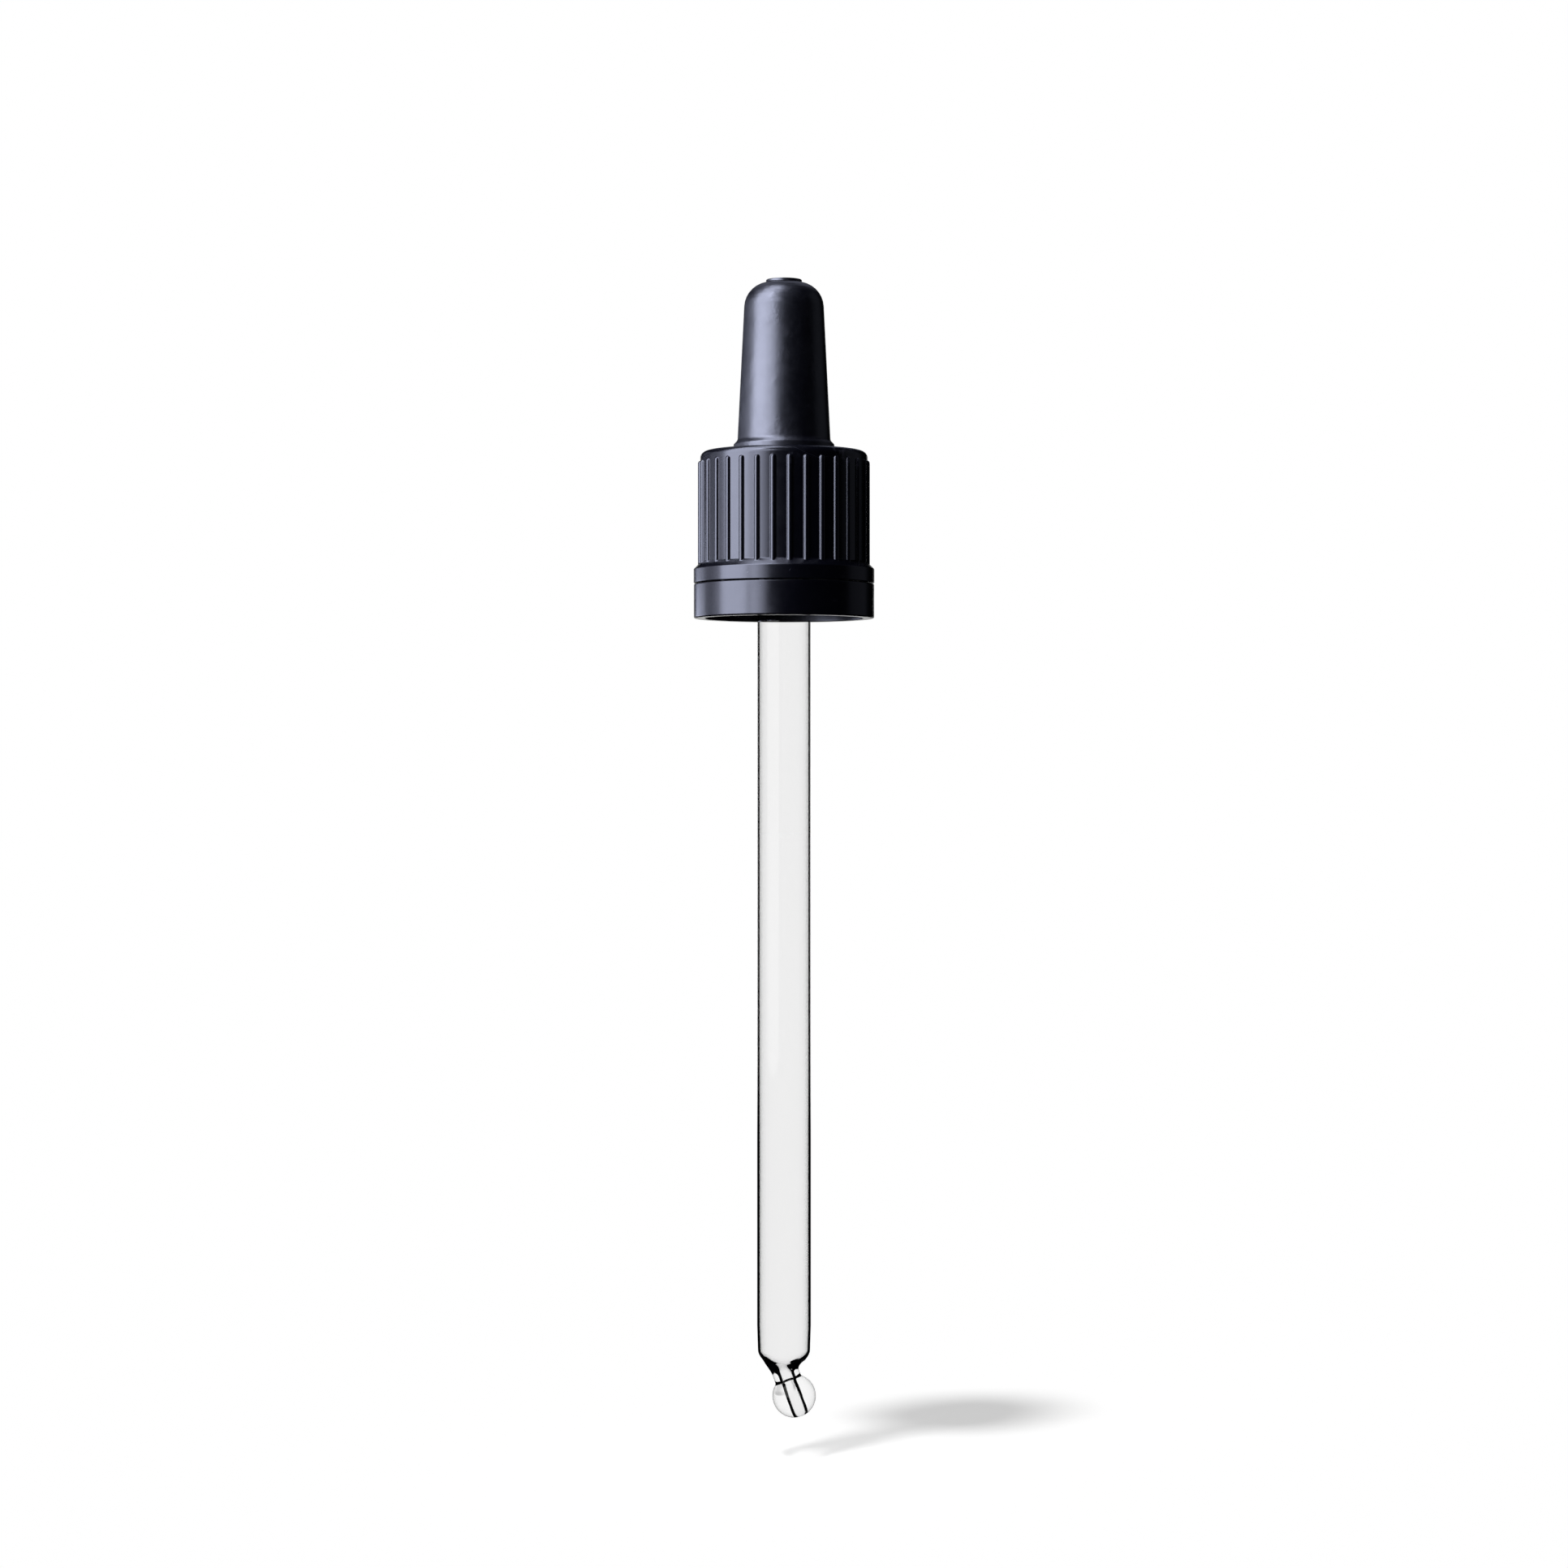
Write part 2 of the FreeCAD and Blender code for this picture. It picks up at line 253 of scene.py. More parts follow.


# %% [markdown]
# ## The teat
# The teat is one rubber moulding: a sleeve that grips the glass, a flange that seals on
# the bottle's rim, a waist in the cap's hole, a lip over the cap, and the bulb that is
# squeezed. At rest it is a plain turned shape, but the bulb has to dent where the two
# finger pads of the CAD model press it.
#
# A lattice or shape keys could dent one whole mesh. Here the bulb is cut into closed shells
# instead, so that each could blend between the teat's body and one finger pad. With such a
# blend no gap could open: round the foot and in the plane between the pads nothing would
# move, and at a cut between two rings the wall above and below would move alike. This
# script only cuts the shells and places them; it doesn't blend them with the pads.

# %% Teat sizes
teat_grip = 0.05 * MM           # how much smaller the bore is than the glass tube
waist_radius = 5.60 * MM
flange_thickness = 1.70 * MM
sleeve_radius = 4.80 * MM
lip_radius = 6.58 * MM
lip_gap = 0.10 * MM             # between the lip and the top of the cap
lip_height = 0.81 * MM
lip_slope_height = 0.53 * MM
lip_fillet = 0.60 * MM
teat_edge = 0.20 * MM
teat_wall = 1.25 * MM
bulb_foot_radius = 6.07 * MM
bulb_shoulder_radius = 5.04 * MM
dome_rounding = 3.28 * MM
nub_radius = 2.335 * MM
nub_height = 0.36 * MM
nub_edge = 0.14 * MM
nub_fillet = 0.10 * MM
seam_clearance = 0.65 * MM      # from the cavity's floor up to the shells' lower cut

bulb_top = nub_top - nub_height
lip_underside = cap_top + lip_gap
bulb_foot = lip_underside + lip_height + lip_slope_height
cavity_floor = tube_top + teat_wall
cavity_top = bulb_top - teat_wall
seam_level = cavity_floor + seam_clearance
bore_radius_of_teat = tube_radius - teat_grip


def bulb_radius(height):
    """Outer radius of the bulb's tapered wall at a height."""
    share = (height - bulb_foot) / (bulb_top - bulb_foot)
    return bulb_foot_radius + share * (bulb_shoulder_radius - bulb_foot_radius)


print("bulb from", in_mm(bulb_foot), "to", in_mm(bulb_top), "mm")

# %% Base of the teat
teat_base_outline = rounded([
    (bulb_radius(seam_level), seam_level, 0),
    (bulb_foot_radius, bulb_foot, lip_fillet),
    (lip_radius, lip_underside + lip_height, teat_edge),
    (lip_radius, lip_underside, teat_edge / 2),
    (waist_radius, lip_underside, teat_edge / 2),
    (waist_radius, flange_thickness, teat_edge / 2),
    (flange_radius, flange_thickness, teat_edge),
    (flange_radius, 0, teat_edge),
    (sleeve_radius, 0, teat_edge),
    (sleeve_radius, sleeve_end, teat_edge),
    (bore_radius_of_teat, sleeve_end, teat_edge),
    (bore_radius_of_teat, tube_top, teat_edge / 2),
    (bulb_radius(cavity_floor) - teat_wall, cavity_floor, teat_wall),
    (bulb_radius(seam_level) - teat_wall, seam_level, 0),
])
BULB_POINTS = 240               # round the teat
teat_base = turned_piece("teat_base", teat_base_outline, even_angles(BULB_POINTS))

# %% Shells of the bulb
pad_low, pad_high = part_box("teat_pad_left")
pad_level = (pad_low.z + pad_high.z) / 2
BULB_STEP = 0.30 * MM           # the longest run between points of a shell's outline
SEAM_STRIP = math.radians(0.05)     # width of the last strip beside a cut

RING_COUNT = 5                  # rings above the pads' level, and as many below it
ring_height = (pad_level - seam_level) / RING_COUNT
top_ring_foot = pad_level + (RING_COUNT - 1) * ring_height

bulb_outline = rounded([
    (bulb_radius(top_ring_foot), top_ring_foot, 0),
    (bulb_shoulder_radius, bulb_top, dome_rounding),
    (nub_radius, bulb_top, nub_fillet),
    (nub_radius, nub_top, nub_edge),
    (0, nub_top, 0),
], closed=False)
cavity_outline = rounded([
    (0, cavity_top, 0),
    (bulb_shoulder_radius - teat_wall, cavity_top, dome_rounding - teat_wall),
    (bulb_radius(top_ring_foot) - teat_wall, top_ring_foot, 0),
], closed=False)
top_outline = np.concatenate([
    subdivided(bulb_outline, BULB_STEP), subdivided(cavity_outline, BULB_STEP)])


def ring_outline(foot):
    """A level slice through the teat's wall, one ring high."""
    head = foot + ring_height
    return subdivided(np.array([
        [bulb_radius(foot), foot],
        [bulb_radius(head), head],
        [bulb_radius(head) - teat_wall, head],
        [bulb_radius(foot) - teat_wall, foot],
    ]), BULB_STEP, closed=True)


def half_shell(name, outline, side):
    """Half a turn of a closed outline on one side (-1 or +1 along X), with flat ends."""
    quarter = math.pi / 2
    inner = np.linspace(-quarter, quarter, BULB_POINTS // 2 + 1)[1:-1]
    angles = np.concatenate([
        [-quarter, -quarter + SEAM_STRIP], inner, [quarter - SEAM_STRIP, quarter]])
    rings = swept_round(outline, angles)
    rings[..., 0] = np.where(np.abs(rings[..., 0]) < WELD, 0, rings[..., 0]) * side
    bm = bmesh.new()
    verts = add_grid(bm, rings, close_round=False)
    for end in (0, -1):
        cut = bm.faces.new([ring[end] for ring in verts])
        bmesh.ops.triangulate(bm, faces=[cut])
    return piece_from(name, bm)


ring_steps = range(-RING_COUNT, RING_COUNT)     # 0 is the first ring above the pads
bulb_shells = {}
for side_name, side in (("left", -1), ("right", 1)):
    for number, step in enumerate(ring_steps, 1):
        at_top = step == ring_steps[-1]
        outline = top_outline if at_top else ring_outline(pad_level + step * ring_height)
        bulb_shells[side, step] = half_shell(f"bulb_{side_name}_{number}", outline, side)

# %% [markdown]
# ### Rings of the bulb
# Two fingers squeeze the bulb from the sides. A blend that let the whole bulb follow a
# finger pad along one line would crease it at the pads' level, where the pad's share turns
# from rising to falling. So the bulb is cut into level rings, each of which could take a
# share that falls slowly at the fingers and faster further off, and is zero at the cut
# between left and right, at the foot and at the top. The shells are not blended here: each
# only has its placement baked into its mesh, and the CAD nodes of the finger pads are hidden.
#
# This has a price. The wall's direction still steps by up to 9 degrees at a cut, which
# shows as level bands on the squeezed bulb, and the dent's rim is hard. More rings would
# make the steps smaller.

# %% Place the shells
def blend_shell(shell, side):
    """Bakes a shell's placement into its mesh and hides the CAD node of its finger pad. The
    shell isn't blended with the pad, and no share is computed."""
    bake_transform(shell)
    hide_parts("teat_pad_left" if side < 0 else "teat_pad_right")


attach(teat_base, "dropper")
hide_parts("rubber_teat")
for (side, step), shell in bulb_shells.items():
    blend_shell(shell, side)
print("rings of the bulb on each side:", len(ring_steps))

# %% [markdown]
# ## The screw cap
# The cap is a moulded pot with a hole for the teat, thirty-two grip ribs, a flared collar
# and a thread inside. Ribs could be bars joined by booleans, but a boolean leaves ragged
# faces where a small fillet has to be. Here the wall is one grid, and its radius is raised
# where a rib stands. The grid's columns are close on a rib's round back and in the fillet
# at its foot, and its rows are close where the rib's head is round.

# %% Cap sizes
cap_radius = 10.92 * MM
cap_bore_radius = 9.25 * MM
cap_thickness = 1.40 * MM
cap_corner = 0.86 * MM
cap_inner_corner = 0.50 * MM
cap_hole_radius = waist_radius + 0.10 * MM
cap_hole_edge = 0.20 * MM
collar_bore_radius = 10.35 * MM
collar_height = 1.83 * MM
collar_edge = 0.15 * MM
collar_bore_depth = 2.10 * MM
slit_edge = 0.12 * MM

collar_top = skirt_edge + collar_height
cap_underside = cap_top - cap_thickness
flare_top = collar_top + collar_radius - cap_radius
cone_foot = skirt_edge + collar_bore_depth
print("flare from", in_mm(collar_top), "to", in_mm(flare_top), "mm")

# %% Grip ribs
rib_count = 32
rib_nose = 0.375 * MM           # radius of a rib's round back
rib_proud = 0.32 * MM
rib_fillet = 0.06 * MM          # along the foot of a rib
rib_top_drop = 1.25 * MM
rib_phase = math.radians(3.9 - 90)      # a rib stands 3.9 degrees past the front
rib_period = 2 * math.pi / rib_count

nose_sink = rib_nose - rib_proud                # the round back's centre under the wall
fillet_reach = math.sqrt((rib_nose + rib_fillet) ** 2 - (nose_sink + rib_fillet) ** 2)
nose_reach = fillet_reach * rib_nose / (rib_nose + rib_fillet)
rib_head = cap_top - rib_top_drop - rib_nose


def rib_section(distance):
    """Height of a rib over the wall at a distance from its middle line."""
    nose = np.sqrt(np.maximum(rib_nose ** 2 - distance ** 2, 0)) - nose_sink
    rest = np.maximum(rib_fillet ** 2 - (fillet_reach - distance) ** 2, 0)
    fillet = rib_fillet - np.sqrt(rest)
    section = np.where(distance < nose_reach, nose, fillet)
    return np.where(distance < fillet_reach, section, 0)


def rib_height(height, angle):
    """Height of the nearest rib over the wall."""
    local = (angle - rib_phase + rib_period / 2) % rib_period - rib_period / 2
    beyond_head = np.maximum(height - rib_head, 0)
    return rib_section(np.hypot(local * cap_radius, beyond_head))


# Columns stand closer together where the round back gets steeper.
BACK_SHARES = (0.24, 0.45, 0.63, 0.77, 0.89)
FILLET_SHARES = (0, 0.5, 1)
WALL_STRIP = 0.35 * MM
section_stops = np.array(BACK_SHARES) * nose_reach
fillet_stops = nose_reach + np.array(FILLET_SHARES) * (fillet_reach - nose_reach)
field_stops = fillet_reach + np.array([SUPPORT, WALL_STRIP])
rib_stops = np.concatenate([section_stops, fillet_stops, field_stops])
stop_angles = np.concatenate([[0], rib_stops, -rib_stops]) / cap_radius
cap_angles = np.sort(np.concatenate(
    [np.append(stop_angles, rib_period / 2) + rib_phase + i * rib_period
     for i in range(rib_count)]))
print("cap columns:", len(cap_angles), "rib head at", in_mm(rib_head), "mm")

# %% Thread inside the cap
thread_pitch = 3.00 * MM
thread_turns = 1.5
thread_depth = 0.90 * MM
thread_crest = 0.80 * MM
thread_root = 1.90 * MM
thread_start = -9.50 * MM       # height of the thread's lower end
thread_fade = math.radians(15)  # over which the thread's ends run out
THREAD_STEP = 0.16 * MM         # height between rows of the grid across the thread
thread_flank = (thread_root - thread_crest) / 2


def thread_height(height, angle):
    """How far the thread stands in from the bore, at a height and angle."""
    turn = angle % (2 * math.pi)
    stand = np.zeros_like(height)
    for whole_turns in range(math.ceil(thread_turns)):
        along = turn + 2 * math.pi * whole_turns
        middle = thread_start + thread_pitch * along / (2 * math.pi)
        flank = (thread_root / 2 - np.abs(height - middle)) / thread_flank
        ends = np.minimum(along, 2 * math.pi * thread_turns - along) / thread_fade
        stand = np.maximum(stand, np.clip(flank, 0, 1) * np.clip(ends, 0, 1))
    return thread_depth * stand * stand * (3 - 2 * stand)


thread_levels = np.arange(
    thread_start - thread_root / 2,
    thread_start + thread_pitch * thread_turns + thread_root / 2, THREAD_STEP)


# %% Screw cap
def cap_relief(radius, height, angle):
    """Ribs on the outer wall and the thread on the bore, as a change of radius."""
    ribs = np.maximum(cap_radius + rib_height(height, angle) - radius, 0)
    thread = thread_height(height, angle)
    outside = radius > cap_radius - SAME_RADIUS
    on_bore = np.abs(radius - cap_bore_radius) < SAME_RADIUS
    return np.where(outside, ribs, 0) - np.where(on_bore, thread, 0)


FLARE_ROWS = 10
FLARE_START, FLARE_END = 0.25, 0.85     # shares of the flare, clear of its roundings
flare = [(cap_radius + share * (collar_radius - cap_radius),
          flare_top + share * (collar_top - flare_top), 0)
         for share in np.linspace(FLARE_START, FLARE_END, FLARE_ROWS)]
cap_outline = rounded([
    (cap_hole_radius, cap_top, cap_hole_edge),
    (cap_radius, cap_top, cap_corner),
    (cap_radius, flare_top, collar_edge),
    *flare,
    (collar_radius, collar_top, collar_edge),
    (collar_radius, skirt_edge, slit_edge),
    (collar_bore_radius, skirt_edge, slit_edge),
    (collar_bore_radius, cone_foot, slit_edge),
    (cap_bore_radius, cone_foot + collar_bore_radius - cap_bore_radius, slit_edge),
    (cap_bore_radius, cap_underside, cap_inner_corner),
    (cap_hole_radius, cap_underside, cap_hole_edge),
])
head_levels = rib_head + np.concatenate([[0], section_stops, fillet_stops])
cap_outline = with_levels(cap_outline, cap_radius, head_levels)
cap_outline = with_levels(cap_outline, cap_bore_radius, thread_levels)
screw_cap = turned_piece("ribbed_cap", cap_outline, cap_angles, cap_relief)
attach(screw_cap, "cap")
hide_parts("screw_cap")

# %% [markdown]
# ## The tamper band
# The band is the ring that stays on the bottle when the cap is first opened. Twelve lugs
# inside slope so that they ride over the neck's bead on the way down and hook under it on
# the way up. They could be separate wedges, but like the ribs they are raised from one
# grid, which stays closed.

# %% Tamper band
band_bore_radius = 10.35 * MM
band_edge = 0.14 * MM
rim_edge = 0.22 * MM
lug_count = 12
lug_reach = 0.60 * MM
lug_half_angle = math.radians(8)
lug_side_angle = math.radians(0.75)
lug_rise = 1.60 * MM
lug_height = 1.70 * MM
lug_flat = 0.35 * MM
lug_back = 0.06 * MM            # height over which a lug's top steps back to the bore
LUG_ROWS = 8                    # up the slope of a lug
BAND_POINTS = 480               # round the band

lug_foot = band_rim + lug_rise
lug_head = lug_foot + lug_height


def band_relief(radius, height, angle):
    """The lugs on the band's bore."""
    slope = np.clip((height - lug_foot) / (lug_height - lug_flat), 0, 1)
    back = np.clip((lug_head + lug_back / 2 - height) / lug_back, 0, 1)
    period = 2 * math.pi / lug_count
    local = np.abs((angle + period / 2) % period - period / 2)
    side = np.clip((lug_half_angle - local) / lug_side_angle, 0, 1)
    on_bore = np.abs(radius - band_bore_radius) < SAME_RADIUS
    return np.where(on_bore, -lug_reach * np.minimum(slope, back) * side, 0)


band_outline = rounded([
    (band_bore_radius, band_top, band_edge),
    (band_radius, band_top, band_edge),
    (band_radius, band_rim, rim_edge),
    (band_bore_radius, band_rim, band_edge),
])
lug_levels = [
    *np.linspace(lug_foot, lug_head - lug_flat, LUG_ROWS), lug_head - lug_back / 2,
    lug_head + lug_back / 2, lug_foot - SUPPORT, lug_head + SUPPORT]
band_outline = with_levels(band_outline, band_bore_radius, lug_levels)
tamper_band = turned_piece(
    "tear_band", band_outline, even_angles(BAND_POINTS), band_relief)
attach(tamper_band, "band")
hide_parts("tamper_band")

# %% [markdown]
# ## The glass pipette
# The pipette is drawn from tube. Its lower end was softened in a flame, pulled to a narrow
# neck, bent aside, and closed with a ball that leaves a fine bore. A turned shape can't
# bend, so here each ring of the outline stands square to the pipette's own axis. A curve
# with a bevel could do that too, but it makes one skin. The wall needs an inner and an
# outer one, because light bends at both, and that draws the dark lines along the edges.

# %% Glass sizes
tube_wall = 0.30 * MM
mouth_rounding = 0.45 * tube_wall       # of both edges at the tube's top end
mouth_depth = 0.12 * MM         # from the tube's top end to where the skins start
ball_level = -119.95 * MM
ball_radius = 2.82 * MM
bore_radius = 0.70 * MM
mouth_edge = 0.10 * MM
neck_radius = 1.74 * MM
neck_fillet = 0.45 * MM
tip_tilt = math.radians(20)
tip_bend_radius = 6.00 * MM
tip_straight = 2.80 * MM        # from the end of the bend to the ball's centre
funnel_length = 3.15 * MM       # of the narrowing to the neck, outside and inside alike
funnel_lead = 1.35 * MM         # the part of it above the bend
taper_length = 3.20 * MM
taper_radius = 3.40 * MM

bend_start = (ball_level + tip_bend_radius * math.sin(tip_tilt)
              + tip_straight * math.cos(tip_tilt))
arc_length = tip_bend_radius * tip_tilt
print("glass: bend starts at", in_mm(bend_start), "mm")


# %% The pipette's axis
def axis_rings(outline, angles):
    """Rings round the bent axis of an outline of (radius, distance past the bend's start).
    The distance is negative above the bend."""
    radius, distance = outline[:, 0, None], outline[:, 1, None]
    turn = np.clip(distance / tip_bend_radius, 0, tip_tilt)
    straight = distance - turn * tip_bend_radius
    centre_x = tip_bend_radius * (1 - np.cos(turn)) + straight * np.sin(turn)
    centre_z = bend_start - tip_bend_radius * np.sin(turn) - straight * np.cos(turn)
    across = radius * np.cos(angles)
    return np.stack([
        centre_x + across * np.cos(turn),
        radius * np.sin(angles) + 0 * turn,
        centre_z + across * np.sin(turn)], axis=-1)


FUNNEL_STEPS = 28


def eased(upper, lower, start, length):
    """Outline points of a funnel that leaves one radius and reaches another smoothly."""
    share = np.linspace(0, 1, FUNNEL_STEPS + 1)
    radius = lower + (upper - lower) * (1 + np.cos(math.pi * share)) / 2
    return np.stack([radius, start + share * length], axis=1)


# %% Outer skin of the glass
GLASS_STEP = 2.5 * MM           # the longest run between rings of the straight tube
GLASS_POINTS = 160              # round the tube
NECK_ROWS = 10
BALL_ROWS = 72
top_distance = bend_start - tube_top    # the tube's top end, along the axis
skin_start = top_distance + mouth_depth + SUPPORT
ball_distance = arc_length + tip_straight

fillet_offset = neck_radius + neck_fillet
fillet_drop = math.sqrt((ball_radius + neck_fillet) ** 2 - fillet_offset ** 2)
fillet_tilt = math.atan2(fillet_drop, fillet_offset)
fillet_turns = np.linspace(0, fillet_tilt, NECK_ROWS)
fillet_points = np.stack([
    fillet_offset - neck_fillet * np.cos(fillet_turns),
    ball_distance - fillet_drop + neck_fillet * np.sin(fillet_turns)], axis=1)
mouth_turn = math.asin((bore_radius + mouth_edge) / ball_radius)
ball_turns = np.linspace(-fillet_tilt, math.pi / 2 - mouth_turn, BALL_ROWS)[1:]
ball_points = np.stack([
    ball_radius * np.cos(ball_turns),
    ball_distance + ball_radius * np.sin(ball_turns)], axis=1)
tube_points = subdivided(np.array([
    [tube_radius, skin_start],
    [tube_radius, -funnel_lead - taper_length],
    [taper_radius, -funnel_lead]]), GLASS_STEP)
outer_skin = np.concatenate([
    tube_points[:-1],
    eased(taper_radius, neck_radius, -funnel_lead, funnel_length),
    fillet_points, ball_points])
print("outline points of the outer skin:", len(outer_skin))

# %% Inner skin of the glass
BORE_STEP = 0.25 * MM           # the longest run between rings of the fine bore
mouth_distance = ball_distance + math.sqrt(ball_radius ** 2 - bore_radius ** 2)
inner_radius = tube_radius - tube_wall
inner_foot_radius = taper_radius - tube_wall
cavity_end = funnel_length - funnel_lead
bore_points = subdivided(np.array([
    [bore_radius, mouth_distance - mouth_edge],
    [bore_radius, cavity_end]]), BORE_STEP)
cavity_points = subdivided(np.array([
    [inner_foot_radius, -funnel_lead],
    [inner_radius, -funnel_lead - taper_length],
    [inner_radius, skin_start]]), GLASS_STEP)
inner_skin = np.concatenate([
    bore_points[:-1],
    eased(inner_foot_radius, bore_radius, -funnel_lead, funnel_length)[::-1],
    cavity_points[1:]])
print("outline points of the inner skin:", len(inner_skin))

# %% Glass pipette
tube_mouth = rounded([
    (inner_radius, top_distance + 2 * mouth_depth, 0),
    (inner_radius, top_distance, mouth_rounding),
    (tube_radius, top_distance, mouth_rounding),
    (tube_radius, top_distance + 2 * mouth_depth, 0),
], closed=False)[1:-1]
glass_outline = np.concatenate([tube_mouth, outer_skin, inner_skin])
bm = bmesh.new()
add_grid(bm, axis_rings(glass_outline, even_angles(GLASS_POINTS)))
glass = piece_from("glass_tube", bm)
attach(glass, "dropper")
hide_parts("glass_pipette")

# %% [markdown]
# ## Effects that the finishes share
# Moulded plastic and rubber are never perfectly even. A fine grain breaks up the edge of
# each highlight, and handling leaves cloudy patches, smudges, scratches and specks. Painted
# maps could carry this, but they blur when seen close. Noise doesn't. Both finishes use the
# same two effects with their own values, so each is a node group with named inputs.

# %% Node helpers
def new_group(name, inputs, outputs):
    """A shader node group with a vector input, float inputs and float outputs."""
    group = bpy.data.node_groups.new(name, "ShaderNodeTree")
    group.interface.new_socket("Vector", in_out="INPUT", socket_type="NodeSocketVector")
    for in_out, labels in (("INPUT", inputs), ("OUTPUT", outputs)):
        for label in labels:
            group.interface.new_socket(label, in_out=in_out, socket_type="NodeSocketFloat")
    return group, group.nodes.new("NodeGroupInput"), group.nodes.new("NodeGroupOutput")


def add_noise(tree, vector, scale, detail=2.0, rough=0.5, distortion=0.0):
    """A noise texture fed with a vector. scale is a number or a socket."""
    noise = tree.nodes.new("ShaderNodeTexNoise")
    tree.links.new(vector, noise.inputs["Vector"])
    noise.inputs["Detail"].default_value = detail
    noise.inputs["Roughness"].default_value = rough
    noise.inputs["Distortion"].default_value = distortion
    if isinstance(scale, (int, float)):
        noise.inputs["Scale"].default_value = scale
    else:
        tree.links.new(scale, noise.inputs["Scale"])
    return noise.outputs["Fac"]


def input_noise(tree, source, label, **look):
    """Noise over a group's Vector input, at the scale that another input gives."""
    return add_noise(tree, source.outputs["Vector"], source.outputs[label], **look)


def add_math(tree, operation, first, second=None, third=None):
    """A math node. Each operand is a number or a socket."""
    node = tree.nodes.new("ShaderNodeMath")
    node.operation = operation
    for i, operand in enumerate((first, second, third)):
        if operand is None:
            continue
        if isinstance(operand, (int, float)):
            node.inputs[i].default_value = operand
        else:
            tree.links.new(operand, node.inputs[i])
    return node.outputs[0]


def add_range(tree, value, from_low, from_high, to_low=0.0, to_high=1.0, smooth=False):
    """A value mapped from one range to another and kept inside it."""
    node = tree.nodes.new("ShaderNodeMapRange")
    node.interpolation_type = "SMOOTHSTEP" if smooth else "LINEAR"
    tree.links.new(value, node.inputs["Value"])
    for label, number in (("From Min", from_low), ("From Max", from_high),
                          ("To Min", to_low), ("To Max", to_high)):
        node.inputs[label].default_value = number
    return node.outputs["Result"]


def chosen(tree, factor, otherwise, then):
    """A mix of two shaders: the second where the factor is 1."""
    node = tree.nodes.new("ShaderNodeMixShader")
    tree.links.new(factor, node.inputs["Fac"])
    tree.links.new(otherwise, node.inputs[1])
    tree.links.new(then, node.inputs[2])
    return node.outputs["Shader"]


def toned(tree, factor, first, second):
    """A mix of two colours: the second where the factor is 1."""
    node = tree.nodes.new("ShaderNodeMix")
    node.data_type = "RGBA"
    node.inputs["A"].default_value = (*first, 1.0)
    node.inputs["B"].default_value = (*second, 1.0)
    tree.links.new(factor, node.inputs["Factor"])
    return node.outputs["Result"]


def add_bump(tree, shader, height, distance):
    """Bends a shader's normal by a height, as if it rose by a distance in metres."""
    bump = tree.nodes.new("ShaderNodeBump")
    bump.inputs["Distance"].default_value = distance
    tree.links.new(height, bump.inputs["Height"])
    tree.links.new(bump.outputs["Normal"], shader.inputs["Normal"])


def new_material(name):
    material = bpy.data.materials.new(name)
    material.use_nodes = True
    return material, material.node_tree, material.node_tree.nodes["Principled BSDF"]


# %% Mould grain
PATCH_RANGE = (0.46, 0.64)      # the noise values between which the ripples set in
RIPPLE_FLOOR = 0.10             # share of the ripples that stays outside the patches
grain_group, source, target = new_group(
    "mould grain", ["Grain Scale", "Ripple Scale", "Patch Scale", "Ripple Share"], ["Height"])
tree = grain_group
grain = input_noise(tree, source, "Grain Scale", detail=1.0)
ripple = input_noise(tree, source, "Ripple Scale", detail=3.0, rough=0.6)
patches = input_noise(tree, source, "Patch Scale", detail=1.0)
patches = add_range(tree, patches, *PATCH_RANGE, to_low=RIPPLE_FLOOR, smooth=True)
ripple = add_math(tree, "MULTIPLY", ripple, patches)
mixed = add_math(tree, "MULTIPLY_ADD", ripple, source.outputs["Ripple Share"], grain)
tree.links.new(mixed, target.inputs["Height"])

# %% Handling marks
MOTTLE_SHARE = 0.55             # of the fine mottle in the broad cloud
CLOUD_RANGE = (0.55, 1.00)      # each range is where an effect sets in and is full
SMUDGE_RANGE = (0.60, 0.72)
SMUDGE_EDGE_RANGE = (0.46, 0.66)
SCRATCH_RANGE = (0.56, 0.68)
SCRATCH_WIDTH = 0.004           # as a step of the noise that the scratches follow
SPECK_RANGE = (0.02, 0.06)      # from a speck's middle outwards
SMUDGE_MOST, SCRATCH_MOST, SPECK_MOST = 0.5, 0.5, 0.6
marks_group, source, target = new_group(
    "handling marks",
    ["Cloud Scale", "Mottle Scale", "Smudge Scale", "Scratch Scale", "Speck Scale"],
    ["Cloud", "Scuff"])
tree = marks_group
cloud = input_noise(tree, source, "Cloud Scale", detail=3.0, rough=0.6, distortion=0.4)
mottle = input_noise(tree, source, "Mottle Scale", detail=2.0, rough=0.6)
patchy = add_math(tree, "MULTIPLY_ADD", mottle, MOTTLE_SHARE, cloud)
patchy = add_range(tree, patchy, *CLOUD_RANGE, smooth=True)
tree.links.new(patchy, target.inputs["Cloud"])

smudge_place = input_noise(tree, source, "Smudge Scale", detail=1.0)
smudge_place = add_range(tree, smudge_place, *SMUDGE_RANGE, smooth=True)
smudge_edge = add_range(
    tree, mottle, *SMUDGE_EDGE_RANGE, to_high=SMUDGE_MOST, smooth=True)
smudge = add_math(tree, "MULTIPLY", smudge_place, smudge_edge)

lines = input_noise(tree, source, "Scratch Scale", detail=2.0, distortion=1.5)
lines = add_math(tree, "ABSOLUTE", add_math(tree, "SUBTRACT", lines, 0.5))
lines = add_range(tree, lines, 0.0, SCRATCH_WIDTH, 1.0, 0.0)
line_place = add_range(tree, cloud, *SCRATCH_RANGE, to_high=SCRATCH_MOST, smooth=True)
scratch = add_math(tree, "MULTIPLY", lines, line_place)

